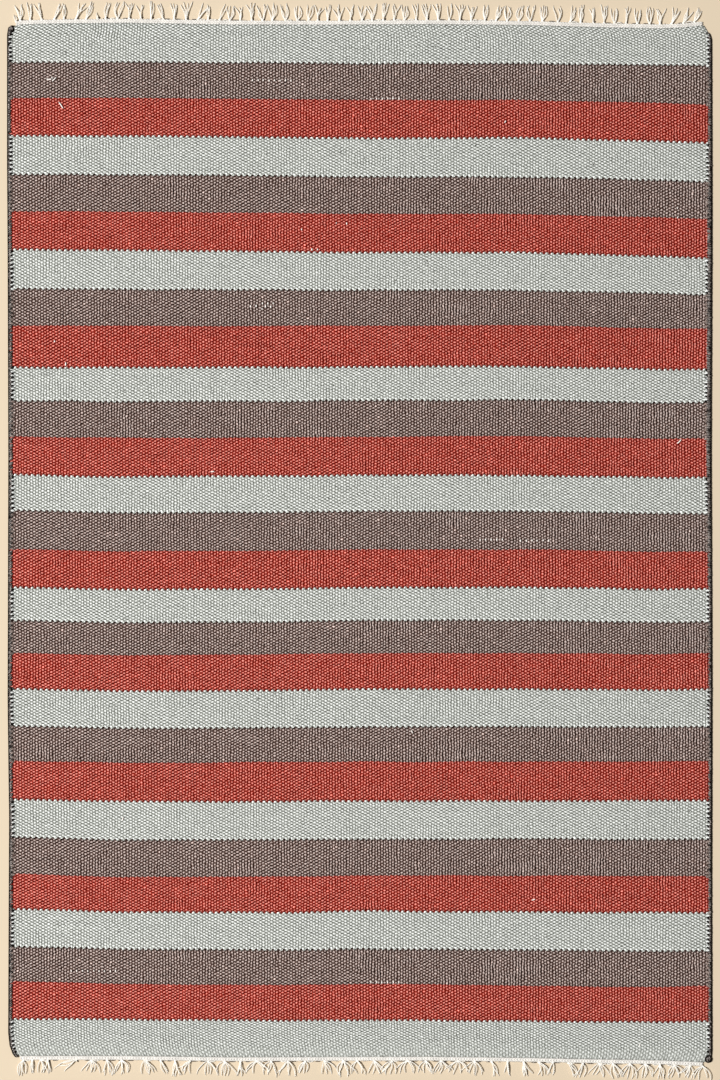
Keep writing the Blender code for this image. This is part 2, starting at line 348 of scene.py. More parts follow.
def woven_place(step, row):
    """Where a point of the weave lies, from its half-warp and its row, which need not be whole."""
    number = 0
    while number < len(row_starts) - 2 and row > row_starts[number + 1]:
        number += 1
    share = (row - row_starts[number]) / (row_starts[number + 1] - row_starts[number])
    if number == len(row_starts) - 2:
        share += LAST_ROWS * (share**6 - share)
    y = woven_lines[number][step] * (1 - share) + woven_lines[number + 1][step] * share
    left = blend_table(LEFT_SIDE, y)
    right = blend_table(RIGHT_SIDE, y)
    return left + (right - left) * step / HALF_WARPS, y


# Rows at a colour line, those of them between brown and red, and those with pale tips
colour_rows = set(row_starts[1:-1])
dark_rows = set(row_starts[2:-1:3])
pale_tips = set(row_starts[1:-1:3]) | {row - 1 for row in row_starts[3:-1:3]}


def stripe_at(row):
    """Which stripe, from the top, a row of weft is in."""
    return sum(1 for line in row_starts[1:-1] if row >= line)


def beaten_share(step, row, stripe):
    """How far the weft is beaten together at a point, from 0, where each grain shows, to 1,
    where the columns show as ribs. The dark stripes have more of it, mostly on the right."""
    patch = noise.noise(Vector((step * 0.021, row * 0.055, 9.0)))
    fine = noise.noise(Vector((step * 0.09, row * 0.12, 15.0)))
    if stripe % 3 == 0:
        lowest, usual, highest = BEATEN_PALE
        near_end = max(0.0, 1 - (row_starts[-1] - row) / (CALM_ROWS + 1))
        share = max(lowest, min(highest, usual + 0.22 * patch + 0.2 * fine))
        return share + (0.5 - share) * near_end
    lowest, usual, highest = BEATEN_DARK
    share = usual + 0.3 * patch + 0.3 * fine + 0.24 * (step / HALF_WARPS - 0.5)
    return max(lowest, min(highest, share - 0.08 * (stripe % 3 == 2)))


def weave_strip(first, last):
    """The face of the stripes from one colour line to another, and where each of its points is
    in the weave: its half-warp and its row."""
    start = row_starts[first]
    rows = row_starts[last] - start
    body = bmesh.new()
    step_layer = body.verts.layers.int.new("step")
    row_layer, beaten_layer, edge_layer, calm_layer = (
        body.verts.layers.float.new(name) for name in ("row", "beaten", "colour_edge", "calm")
    )
    made = bmesh.ops.create_grid(body, x_segments=HALF_WARPS, y_segments=rows, size=1.0)
    for vert in made["verts"]:
        step = round((vert.co.x + 1) / 2 * HALF_WARPS)
        row = start + round((1 - vert.co.y) / 2 * rows)
        stripe = stripe_at(row)
        falls = stripe % 3 == 0
        on_grain = (step // 2 + row) % 2 == 0
        near_line = row in colour_rows or row + 1 in colour_rows
        way = 1 if row in colour_rows else -1
        close = row in dark_rows or row + 1 in dark_rows
        clear = CLOSE_RISE if close else 1.0
        beaten = beaten_share(step, row, stripe)
        # the same stray for one point in both strips that share it
        stray = noise.cell_vector(Vector((step + 0.5, row + 0.5, 7.5))) * 2 - Vector((1, 1, 1))
        shift = 0.0
        if step % 2 == 0:
            level = (1 if on_grain else -1) * (1 - beaten) + beaten
            if near_line and not on_grain:
                shift = way * (CLOSE_TOOTH if close else TOOTH)
                level += TIP_RISE * clear
        else:
            level = -beaten + (TWIST_TILT if on_grain == falls else -TWIST_TILT)
            if near_line:
                # pale tips are pointed, and the dark ones that lie between them are round
                fall = CLOSE_NOTCH if close else NOTCH if row in pale_tips else ROUND_NOTCH
                shift = -way * fall
                level -= SHOULDER_DROP * clear
            elif 0 < row < row_starts[-1]:
                shift = LEAN_SHIFT if falls else -LEAN_SHIFT
        calm = CALM_SHARE * min(1.0, max(0.0, 1.3 - (row_starts[-1] - row) / CALM_ROWS))
        height = FACE + RELIEF * level * (1 - calm) + STRAY_HEIGHT * stray.z
        vert[calm_layer] = calm
        vert[beaten_layer] = beaten
        # how much of a colour line's painted shade, or on a pale grain its painted highlight, this
        # point takes
        vert[edge_layer] = clear if near_line and (step % 2 or not on_grain) else 0.0
        x, y = woven_place(step, row + shift)
        from_side = min(step, HALF_WARPS - step)
        if from_side == 0:
            height = HEM
        elif from_side < 3:
            height -= SIDE_DROP
        else:
            wander = WARP_WANDER * noise.noise(Vector((step * 0.06, row * 0.02, 4.0)))
            x += STRAY * stray.x + wander
        if 0 < row < row_starts[-1]:
            y += STRAY * stray.y * (0.5 if near_line else 1.0)
        height += noise.noise(Vector((step * 0.11, row * 0.13, 2.0))) * SWELL
        vert[step_layer] = step
        vert[row_layer] = row + shift
        vert.co = (x * MM, y * MM, height * MM)
    return body, step_layer, row_layer


def close_strip(body):
    """Gives a woven face its turned-down sides and a flat back."""
    rim = [edge for edge in body.edges if edge.is_boundary]
    walls = bmesh.ops.extrude_edge_only(body, edges=rim)
    fresh = [item for item in walls["geom"] if isinstance(item, bmesh.types.BMVert)]
    for vert in fresh:
        vert.co.z = BACK * MM
    lower = [edge for edge in body.edges if edge.is_boundary]
    back = bmesh.ops.contextual_create(body, geom=lower)
    bmesh.ops.recalc_face_normals(body, faces=body.faces)
    return set(back["faces"])


def face_colour(warp, row):
    """Which stripe a grain belongs to: one in two reaches a row into the stripe before it."""
    stripe = stripe_at(row)
    if row + 1 in colour_rows and (warp + row) % 2 == 1:
        stripe += 1
    return stripe % 3


# The cloth is made as ten strips that meet: three stripes in each, from a pale one, and one in
# the last
STRIPS = 10


def strip_lines(number):
    """The colour lines that a strip starts and ends at."""
    return number * 3, min(number * 3 + 3, len(row_starts) - 1)


# The map for baking a strip's looks to a picture, in shares of the picture's side. The face
# fills two rows, its left half over its right: where they start, how deep they are, and their
# margin.
FACE_TOPS = (0.995, 0.59)
FACE_DEPTH = 0.395
FACE_MARGIN = 0.005

# The same, for the back and the turned-down sides, which share one row under those, and how wide
# the sides are in it
BACK_TOP = 0.17
BACK_DEPTH = 0.15
BACK_MARGIN = 0.01
HEM_WIDTH = 0.004

# How many rows the painted highlight on pale grains' tops is drawn past their places, beside a
# colour line
LIGHT_TIP = 1.05

woven_strips = []
for number in range(STRIPS):
    first, last = strip_lines(number)
    body, step_layer, row_layer = weave_strip(first, last)
    backs = close_strip(body)
    weave_map = body.loops.layers.uv.new("weave")
    bake_map = body.loops.layers.uv.new("OFBake")
    start = row_starts[first]
    rows = row_starts[last] - start
    for face in body.faces:
        steps = [vert[step_layer] for vert in face.verts]
        spread = [vert[row_layer] for vert in face.verts]
        is_back = face in backs
        is_wall = not is_back and abs(face.normal.z) < 0.2
        row = round(sum(spread) / len(spread) - 0.5)
        face.material_index = face_colour((min(steps) + 1) // 2, row)
        face.smooth = not (is_back or is_wall)
        right_half = sum(steps) / len(steps) > HALF_WARPS / 2
        for loop in face.loops:
            step = loop.vert[step_layer]
            place = loop.vert[row_layer]
            across = step / HALF_WARPS
            down = (place - start) / rows
            if face.material_index == 0 and step % 2 == 0 and abs(place - round(place)) > 0.1:
                # pale grains keep their painted highlight right to their tips at a colour line
                place += -LIGHT_TIP if round(place) in colour_rows else LIGHT_TIP
            loop[weave_map].uv = (step / 2, place)
            if is_back or is_wall:
                out = HEM_WIDTH if loop.vert.co.z > BACK * MM * 2 else 0.0
                side = 1 if across > 0.999 else -1 if across < 0.001 else 0
                out_across = out * side
                out_down = out * (1 if down < 0.5 else -1) * (side == 0)
                loop[bake_map].uv = (
                    BACK_MARGIN + (1 - 2 * BACK_MARGIN) * across + out_across,
                    BACK_TOP - BACK_DEPTH * down + out_down,
                )
            else:
                share = across * 2 - right_half
                loop[bake_map].uv = (
                    FACE_MARGIN + (1 - 2 * FACE_MARGIN) * share,
                    FACE_TOPS[right_half] - FACE_DEPTH * down,
                )
    woven_strips.append(
        finish_piece(f"woven_stripes_{number + 1}", body, wools, "cloth")
    )


# The cotton bands. At each end two rows of undyed cotton are twined across the warps, so that
# the last weft can't slide off. Each row is a pair of yarns that change places at every warp.
UP = Vector((0, 0, 1))

# In millimetres: the yarn's width, how far it swings out from its row, how long its full turn
# is, how far in from the outer edge the two rows run, and how high
BAND_YARN = 3.1
BAND_TURN = 0.9
TWINE_PITCH = 9.7
TWINE_ROWS = (1.9, 5.1)
TWINE_HEIGHT = 2.35
TURN_STEPS = 6

# The band's fuzz: how many hairs, how far in from the outer edge they stand, and their height
HAIRS = 320
HAIR_LINES = (0.8, 6.6)
HAIR_HEIGHT = 4.3

# The painted shadow along the band's outer edge, laid as short dark dashes: how far in and
# how high it runs, how long it may show for, how long a knot hides it, how often it does show,
# and its width along the way
SHADOW_DASH_LINE = -1.2
SHADOW_DASH_HEIGHT = 1.2
SHADOW_DASH_RUN = (6, 15)
SHADOW_DASH_SKIP = (3, 9)
SHADOW_DASH_SHOWS = {"top": 0.4, "bottom": 0.7}
SHADOW_DASH_SHAPE = ((0, 0), (0.1, 1), (0.5, 1.3), (0.9, 1), (1, 0))


def lay_yarn(body, route, sides, broad=None, dye=0):
    """A closed yarn along a route of (point, width, height), in millimetres, which ends in a
    point where the size is nought. broad: the way its width lies, else level. dye: which of
    the piece's materials it has."""
    yarn_map = body.loops.layers.uv["yarn"]
    steps = len(route) - 1
    made = bmesh.ops.create_grid(body, x_segments=sides, y_segments=steps, size=1.0)
    lengths = [0.0]
    for before, after in zip(route, route[1:]):
        lengths.append(lengths[-1] + (after[0] - before[0]).length)
    for vert in made["verts"]:
        around = (vert.co.x + 1) / 2
        step = round((vert.co.y + 1) / 2 * steps)
        for loop in vert.link_loops:
            loop[yarn_map].uv = (around, lengths[step])
            loop.face.material_index = dye
        point, width, height = route[step]
        run = (route[min(step + 1, steps)][0] - route[max(step - 1, 0)][0]).normalized()
        wide = broad if broad else run.cross(UP).normalized()
        thick = wide.cross(run).normalized()
        turn = around * 2 * math.pi
        round_part = wide * (math.cos(turn) * width / 2) + thick * (math.sin(turn) * height / 2)
        vert.co = point + round_part
    bmesh.ops.remove_doubles(body, verts=made["verts"], dist=0.01)


def new_yarn_body():
    """A bmesh with the map that a yarn's twist is drawn on: turns round it, then millimetres."""
    body = bmesh.new()
    body.loops.layers.uv.new("yarn")
    return body


def join_yarn(body, bundle):
    """Adds a small bundle of laid yarn to a piece. Yarn laid straight into a big one is slow."""
    bmesh.ops.recalc_face_normals(bundle, faces=bundle.faces)
    mesh = bpy.data.meshes.new("bundle")
    bundle.to_mesh(mesh)
    bundle.free()
    body.from_mesh(mesh)
    bpy.data.meshes.remove(mesh)


def finish_yarn(name, body, materials, node):
    """Turns laid yarn, made in millimetres, into a smooth piece of the rug."""
    bmesh.ops.scale(body, vec=(MM, MM, MM), verts=body.verts)
    for face in body.faces:
        face.smooth = True
    return finish_piece(name, body, materials, node)


def yarn_material(name, tones, twist_length, slub, sheen=0.0):
    """Plied yarn: two plies that wind round each other once in every twist length, in
    millimetres, with painted shade between them and a painted highlight along their hairy tops.
    slub: how long its thick and thin lengths are in millimetres, and their darkest and lightest
    tone."""
    material, shader, add = new_material(name, roughness=0.92, sheen=sheen)
    place = add("TexCoord").outputs["Object"]
    yarn = add("UVMap", uv_map="yarn")
    wound = add(
        "VectorMath", {0: yarn, 1: (4 * math.pi, 4 * math.pi / twist_length, 0.0)},
        operation="DOT_PRODUCT",
    )
    ply = add("Math", {0: wound.outputs["Value"]}, operation="SINE")
    # loose fibre, drawn about 0.8 mm coarse so that it shows
    fibre = add("TexNoise", {"Vector": place, "Scale": 1 / 0.0008, "Detail": 2.0})
    hairy = add("Math", {0: fibre, 1: 2.2, 2: ply}, operation="MULTIPLY_ADD")
    level = add("MapRange", {"Value": hairy, "From Min": -0.3, "From Max": 2.5})
    # the ramp paints shade between the plies and a highlight on their tops
    ramp = add("ValToRGB", {"Fac": level}, zip((0.0, 0.45, 1.0), tones))
    lengths = add("TexNoise", {"Vector": place, "Scale": 1000 / slub[0], "Detail": 1.0})
    tone = add("MapRange", {
        "Value": lengths, "From Min": 0.3, "From Max": 0.7, "To Min": slub[1], "To Max": slub[2],
    })
    finish_fibre(add, shader, ramp, tone, hairy, depth=0.0003, strength=0.6)
    return material


def plain_material(name, roughness, colour):
    """A matt material of one colour, for what is too fine or too plain to show more."""
    material, shader, _ = new_material(name, roughness, sheen=0.0)
    shader.inputs["Base Color"].default_value = linear(colour)
    return material


# Undyed cotton, a warm off-white, with beige painted shade only between its plies
band_cotton = yarn_material(
    "undyed_cotton_twine", ("#cbc3b6", "#eee9e1", "#fcfbf8"), twist_length=3.2,
    slub=(7, 0.86, 1.06), sheen=0.1,
)

# Dull dark brown, a painted shadow: thin dashes of it along the band's outer edge and spots
# beside the fringe's knots, where shade falls on the floor
painted_shadow_brown = plain_material("painted_shadow_dark_brown", 0.9, "#26170e")

for name, end, edge in (("top", 1, TOP_EDGE), ("bottom", -1, BOTTOM_EDGE)):
    body = new_yarn_body()
    start = edge[0][0] + 1.0
    length = edge[-1][0] - 1.0 - start
    steps = round(length / TWINE_PITCH * TURN_STEPS)
    for row, inward in enumerate(TWINE_ROWS):
        bundle = new_yarn_body()
        for half in (0, 1):
            route = []
            for step in range(steps + 1):
                across = start + length * step / steps
                turn = math.pi * (2 * step / TURN_STEPS + half) * (1 if row == 0 else -1)
                y = edge_y(end, across, inward) + math.cos(turn) * BAND_TURN
                z = TWINE_HEIGHT + math.sin(turn) * BAND_TURN
                size = 0 if step in (0, steps) else BAND_YARN
                route.append((Vector((across, y, z)), size, size * 0.95))
            lay_yarn(bundle, route, sides=5)
        join_yarn(body, bundle)
    # cotton fuzz along both of the band's edges
    chance = random.Random(31 + end)
    bundle = new_yarn_body()
    for _ in range(HAIRS):
        across = chance.uniform(start + 4, start + length - 4)
        inward = chance.choice(HAIR_LINES) + chance.gauss(0, 0.5)
        reach = chance.uniform(1.2, 3.0) * (1 if inward < 3 else -1) * end
        root = Vector((across, edge_y(end, across, inward), HAIR_HEIGHT))
        lean = chance.uniform(-2.4, 2.4)
        hair = [(root, 0, 0), (root + Vector((lean * 0.3, reach * 0.5, 0.3)), 0.9, 0.7),
                (root + Vector((lean, reach, 0.2)), 0, 0)]
        lay_yarn(bundle, hair, sides=3)
    # the band's painted shadow on the floor, laid as short dark dashes between the knots
    across = start + 6
    while across < start + length - 20:
        run = chance.uniform(*SHADOW_DASH_RUN)
        if chance.random() < SHADOW_DASH_SHOWS[name]:
            shadow_dash = []
            for share, size in SHADOW_DASH_SHAPE:
                there = across + run * share
                y = edge_y(end, there, SHADOW_DASH_LINE)
                shadow_dash.append((Vector((there, y, SHADOW_DASH_HEIGHT)), size, size))
            lay_yarn(bundle, shadow_dash, sides=4, dye=1)
        across += run + chance.uniform(*SHADOW_DASH_SKIP)
    join_yarn(body, bundle)
    finish_yarn(
        f"twined_band_{name}", body, (band_cotton, painted_shadow_brown), f"fringe_{name}"
    )


# The fringe. The ends of the cotton warps, knotted in small bunches against the band so that
# it can't work loose, then left a thumb's width long. They are soft, and splay and curl.

# In millimetres: how far the ends reach past the knots, a strand's width and how far in from its
# knot it starts, a knot's width, how far out it sits, its height, and how far from the rug's
# middle the last ones may lie
TOP_REACH = 28.5
BOTTOM_REACH = 25.4
STRAND_WIDTH = 1.7
ROOT_DEPTH = 3.0
KNOT_SIZE = 4.6
KNOT_OUT = 0.8
KNOT_HEIGHT = 2.5
LAST_KNOT = 596.0
FREE_STEPS = 6

# Tufts in stretches of even spacing: first and last place over the width in millimetres, and
# one sign for each tuft, for how its strands lie
TOP_TUFTS = (
    (-594, -594, "a"),
    (-588, -453, "V|\\/|//c"),
    (-440, -321, "|OY||\\V"),
    (-301, -151, "V/|/O|YOW"),
    (-127, -18, "OOVY|WY"),
    (2, 173, "WVYVO|WVVV"),
    (194, 316, "VV/OOOW"),
    (343, 579, "O/VYYO|OOV///"),
)
BOTTOM_TUFTS = (
    (-581, -540, "(|R|"),
    (-490, -411, "<A)A"),
    (-371, -294, "R/FL"),
    (-264, -152, "AAFMA"),
    (-126, -29, "ALRA"),
    (-4, 257, "ARLMAAMA/F"),
    (283, 361, "FROR"),
    (386, 571, "FARAAFAL"),
    (592, 592, "M"),
)

# Strands of each sign: heading at the knot and turn by the tip in degrees, share of length
TUFT_SHAPES = {
    "|": ((-7, 9, 1), (6, -6, 0.98), (14, -22, 0.96)),
    "/": ((8, 12, 1.05), (27, -8, 1), (17, 4, 1.04), (36, -16, 0.95)),
    "\\": ((-8, -12, 1.05), (-27, 10, 1), (-17, -2, 1.03)),
    "V": ((-18, 14, 1), (19, -12, 1.05), (-6, 8, 0.98), (8, -4, 1)),
    "O": ((-32, 54, 1), (32, -52, 1), (-19, 34, 0.98), (17, -28, 0.99)),
    "Y": ((-3, -22, 1.05), (4, 22, 1), (1, 4, 0.98), (-3, 12, 1)),
    "W": ((-22, 16, 0.98), (-6, 2, 1.05), (7, -4, 1), (22, -14, 0.98)),
    "F": ((-24, 28, 1), (-15, 18, 1.05), (-6, 8, 1), (3, -2, 1.05), (12, -14, 1),
          (22, -22, 1.05)),
    "L": ((-64, 50, 1.15), (-50, 38, 1.1), (-37, 26, 1.05), (-24, 14, 1), (-10, 6, 0.95),
          (40, -50, 1)),
    "R": ((64, -50, 1.15), (51, -38, 1.1), (38, -26, 1.05), (25, -14, 1), (11, -6, 0.95),
          (-38, 50, 1)),
    "M": ((-76, 72, 1.3), (-60, 60, 1.15), (76, -72, 1.3), (60, -60, 1.2), (-40, 44, 1),
          (36, -36, 0.95)),
    "A": ((-62, 62, 1.2), (-34, 38, 1.05), (-6, 6, 0.95), (18, -24, 1), (42, -44, 1.1),
          (64, -64, 1.2)),
    "<": ((-82, 12, 1.25), (-74, 10, 1.45), (-66, 8, 1.4), (-58, 12, 1.25), (-48, 10, 1.1),
          (-76, 24, 1)),
    ")": ((8, -30, 0.95), (50, -76, 1.25), (30, -56, 1.1), (-12, -10, 0.9), (-4, 6, 1)),
    "(": ((-40, 60, 1.1), (-4, 16, 0.95), (-24, 40, 1), (14, 10, 0.9), (-30, 64, 0.95)),
    "a": ((-30, 10, 0.42), (12, -20, 0.4)),
    "c": ((-40, 70, 0.45), (-10, 50, 0.3)),
}

# How far the tufts stray from even: spacing in millimetres, tilt in degrees, share of length
SPACING_PLAY = 1.8
TILT_PLAY = 5
LENGTH_PLAY = (0.88, 1.08)

# Shares: strands that have worn off, tips that are frayed, and tufts with a hooked end
WORN_OFF = 0.1
FRAYED = 0.35
HOOKED = 0.35

# Undyed cotton again, with a white painted highlight on its plies' tops and beige painted shade
# between them
fringe_cotton = yarn_material(
    "undyed_cotton_fringe", ("#cdbb99", "#fcf8ee", "#ffffff"), twist_length=7.0,
    slub=(20, 0.94, 1.08), sheen=0.15,
)


def strand_route(end, knot, lean, bend, reach, arch, rest, wave):
    """One warp end, from inside the band through the knot and out over the floor to its tip.
    lean, bend and wave: its heading at the knot, how far it turns by its tip, and how far it
    swings aside and back on its way, in degrees; arch: how high it lifts; rest: its tip's
    height."""
    heading = math.radians(lean)
    point = Vector((knot.x, knot.y - end * ROOT_DEPTH, 2.4))
    route = [(point, 0, 0), (Vector((knot.x, knot.y, 2.6)), STRAND_WIDTH, STRAND_WIDTH)]
    point = Vector((knot.x, knot.y, 0))
    for step in range(1, FREE_STEPS + 1):
        share = step / FREE_STEPS
        run = Vector((math.sin(heading), end * math.cos(heading), 0))
        point = point + run * reach / FREE_STEPS
        swing = wave * math.cos(share * 2 * math.pi)
        heading += math.radians(bend / FREE_STEPS + swing)
        height = rest + 1.5 * (1 - share) + arch * abs(math.sin(math.pi * share)) ** 0.7
        size = STRAND_WIDTH * (1.0 - 0.08 * share)
        if step == FREE_STEPS:
            size *= 0.8
        route.append((point + UP * height, size, size * 0.9))
    tip = point + run * 1.2 + UP * (route[-1][0].z - 0.2)
    route.append((tip, 0, 0))
    return route


def fray_tip(body, route, chance):
    """The last fibres of a strand, splayed past its tip."""
    tip = route[-2][0]
    run = (route[-2][0] - route[-3][0]).normalized()
    for _ in range(2):
        turn = chance.uniform(-0.6, 0.6)
        away = Vector((run.x * math.cos(turn) - run.y * math.sin(turn),
                       run.x * math.sin(turn) + run.y * math.cos(turn), 0))
        length = chance.uniform(2.0, 3.6)
        hair = [(tip - away * 0.8, 0, 0), (tip, 0.7, 0.6),
                (tip + away * length / 2, 0.55, 0.5), (tip + away * length, 0, 0)]
        lay_yarn(body, hair, sides=4)


# For each end: the way it points, its tufts and their reach, how far strands stray, in degrees,
# the share of knots with a spot of painted shadow beside them, and the seed of its chances
for name, end, rows, reach, play, shadow_spots, seed in (
    ("top", 1, TOP_TUFTS, TOP_REACH, 8, 0.8, 3),
    ("bottom", -1, BOTTOM_TUFTS, BOTTOM_REACH, 18, 0.3, 8),
):
    body = new_yarn_body()
    # tufts, strands and the spots of painted shadow each have their own chances
    chance = random.Random(seed)
    stray = random.Random(seed + 100)
    tied = random.Random(seed + 200)
    for first, last, signs in rows:
        for number, sign in enumerate(signs):
            place = first + (last - first) / max(1, len(signs) - 1) * number
            across = place + chance.uniform(-SPACING_PLAY, SPACING_PLAY)
            across = max(-LAST_KNOT, min(LAST_KNOT, across))
            knot = Vector((across, edge_y(end, across, 0.0), 0))
            length = reach * chance.uniform(*LENGTH_PLAY)
            tilt = chance.uniform(-TILT_PLAY, TILT_PLAY)
            bundle = new_yarn_body()
            for order, (lean, bend, share) in enumerate(TUFT_SHAPES[sign]):
                if order > 1 and stray.random() < WORN_OFF:
                    continue
                route = strand_route(
                    end, knot, lean=lean + tilt + stray.uniform(-play, play) * 0.6,
                    bend=bend + stray.uniform(-play, play) * 1.3,
                    reach=length * share * stray.uniform(0.88, 1.05),
                    arch=stray.uniform(1.6, 3.0), rest=1.3 + 0.35 * order,
                    wave=stray.uniform(-18, 18),
                )
                lay_yarn(bundle, route, sides=6)
                if stray.random() < FRAYED:
                    fray_tip(bundle, route, stray)
            if stray.random() < HOOKED and sign not in "ac":
                # a short end that sprang back into a hook beside the knot
                turn = stray.choice((-1, 1))
                hook = strand_route(
                    end, knot + Vector((turn * 3.0, 0, 0)), lean=turn * 62, bend=turn * 75,
                    reach=stray.uniform(8.0, 13.0), arch=1.2, rest=1.6, wave=0.0,
                )
                lay_yarn(bundle, hook, sides=6)
            ball = bmesh.ops.create_uvsphere(bundle, u_segments=8, v_segments=5, radius=0.5)
            bmesh.ops.scale(
                bundle, vec=(KNOT_SIZE, KNOT_SIZE * 0.95, KNOT_SIZE * 0.8), verts=ball["verts"]
            )
            lifted = knot + Vector((0, end * KNOT_OUT, KNOT_HEIGHT))
            bmesh.ops.translate(bundle, vec=lifted, verts=ball["verts"])
            if tied.random() < shadow_spots:
                # painted shadow beside the knot, laid as a short dark dab
                width = tied.uniform(1.8, 2.8)
                foot = Vector((knot.x + tied.uniform(2.2, 3.2), knot.y + end * 1.2, 0.9))
                along = Vector((tied.uniform(0.4, 1.6), end * tied.uniform(2.4, 4.0), 0))
                shadow_spot = [(foot, 0, 0), (foot + along * 0.25, width, 1.0),
                        (foot + along * 0.6, width * 0.8, 1.0), (foot + along, 0, 0)]
                lay_yarn(bundle, shadow_spot, sides=5, dye=1)
            join_yarn(body, bundle)
    finish_yarn(
        f"knotted_fringe_{name}", body, (fringe_cotton, painted_shadow_brown), f"fringe_{name}",
    )


# The sides. A black wool cord lies along each edge, and charcoal wool yarn is whipped over the
# outermost warps beside it, in slanting stitches that reach into the cloth by turns a short and
# a long way. A long stitch ends in a hole where it pulls the cloth down, its shade painted as
# black yarn.

# In millimetres: half the rug's width, how far apart the stitches are, how thick their yarn is,
# the cord's width, height and how far out it lies, as the whipping is pulled further over it on
# the right, and the place along the rug past which the corners are tied
HALF_WIDTH = 610
STITCH_PITCH = 3.75
STITCH_THICK = 1.7
CORD_WIDTH = 2.5
CORD_HEIGHT = 4.2
CORD_OUT = {"left": 1.8, "right": 1.2}
CORNER = 878

# The cord's middle as a share of its height, and how many stitches are laid at a time
CORD_MIDDLE = 0.52
BUNDLE = 24

# The edge's line, top first: how far in from the rug's side, place along the rug, the yarn's
# thickness as a share of the usual, and how much further in than usual the stitches reach
LEFT_CORD = (
    (5, 889.5, 0.95, 0), (3.6, 882, 1.1, 0), (2.4, 874, 1, -1), (2.4, 780, 1, -0.8),
    (2.4, 660, 1, 0), (3.4, 500, 1, 0.6), (4.6, 150, 1, 0.8), (3.4, -275, 1, 0.4),
    (6, -480, 1, 0), (5.4, -600, 1, 0.2), (4.4, -850, 1, 0), (6.6, -872, 0.95, 0),
    (11.6, -886, 0.9, 0), (17.4, -893.4, 0.8, 0),
)
RIGHT_CORD = (
    (6.4, 878, 0.7, 0), (3.8, 868, 0.9, 0.3), (3.4, 640, 1, 1.4), (3.4, 500, 1, 2.6),
    (4.8, 150, 1, 2.8), (4, -50, 1, 1), (3.4, -250, 1, 0), (4, -600, 1, 0), (3.4, -880, 1, 0),
    (4.4, -894, 1, 0), (5.6, -900.5, 0.85, 0),
)

# A stitch, from inside the cloth to the top of the cord: out from the edge's line, up from the
# floor and along the edge, and its width, in millimetres. A long one has a hole under it, its
# shade painted as black yarn.
STITCH = (
    (-4.2, 3.8, -1.4, 0), (-3.2, 5.2, -1.1, 3), (-1.6, 5.8, -0.5, 3.6), (-0.5, 5.7, 0, 3.6),
    (0.2, 5, 0.4, 2.8), (0.8, 3.4, 0.8, 0),
)
HOLE_SHADE = (
    (-7.4, 4, -1.7, 0), (-6.2, 5.2, -1.4, 2.3), (-4.8, 5.6, -1.2, 3.7), (-3.4, 5.5, -0.9, 4.6),
    (-1.6, 4.8, -0.5, 3.6), (-0.4, 4, 0, 0),
)

# A weft's turn at the edge, which shows between two long stitches
TURN = (
    (-8.2, 2.8, 0.9, 0), (-6.6, 4.4, 0.6, 4), (-5, 4.9, 0.3, 4.4), (-3.6, 5.5, 0.1, 3.8),
    (-2.2, 5.8, 0, 2.5), (-1, 5.3, -0.2, 0),
)

# Black wool for the cord, and for the painted shade of the holes. Charcoal wool for the stitches,
# with near-black painted shade in its folds and a dull grey painted highlight along the top of the
# yarn. The wefts' turns, off-white and brown.
black_wool_and_hole_shade = yarn_material(
    "black_wool_cord_and_hole_shade", ("#040302", "#0c0806", "#1e1714"), twist_length=8.3, slub=(9, 0.7, 1.3),
)
charcoal_wool = yarn_material(
    "charcoal_wool_whipping", ("#0a0706", "#4a403a", "#b8b1ac"), twist_length=4.5,
    slub=(4.5, 0.1, 1.9),
)
turned_wool = yarn_material(
    "pale_wool_turn", ("#a5a7a0", "#e2e4de", "#ffffff"), twist_length=6.0, slub=(9, 0.9, 1.1),
)
brown_turn = yarn_material(
    "taupe_wool_turn", ("#1d1310", "#7a685f", "#c9b6ad"), twist_length=5.0, slub=(6, 0.6, 1.3),
)


def cord_walk(cord, side, pitch):
    """Steps of equal length along a side: the point, the ways along and outward, and the
    thickness and the further reach there."""
    points = [Vector((side * (HALF_WIDTH - row[0]), *row[1:])) for row in cord]
    travelled = 0.0
    wanted = 0.0
    for before, after in zip(points, points[1:]):
        length = (after - before).length
        run = Vector((after.x - before.x, after.y - before.y, 0)).normalized()
        out = Vector((-side * run.y, side * run.x, 0))
        while wanted <= travelled + length:
            here = before.lerp(after, (wanted - travelled) / length)
            yield Vector((here.x, here.y, 0)), run, out, here.z, here.w
            wanted += pitch
        travelled += length


# Knots on each side: place over the width, place along the rug, width, length and height
KNOTS = {
    "left": ((-603.4, 884.6, 11.6, 10.6, 6),),
    "right": ((602.2, -896.4, 13, 12.8, 6.8),),
}


def coil_yarn(body, centre, radius, yarn, turns, low, high):
    """Yarn wound into a flat coil from its rim inward and up, as where it is tied off."""
    steps = round(turns * 10)
    coil = []
    for step in range(steps + 1):
        share = step / steps
        turn = share * turns * 2 * math.pi
        reach = radius * (1 - 0.7 * share)
        spot = Vector((centre[0] + reach * math.cos(turn), centre[1] + reach * math.sin(turn),
                       low + (high - low) * share))
        size = 0 if step in (0, steps) else yarn
        coil.append((spot, size, size))
    lay_yarn(body, coil, sides=6, dye=1)


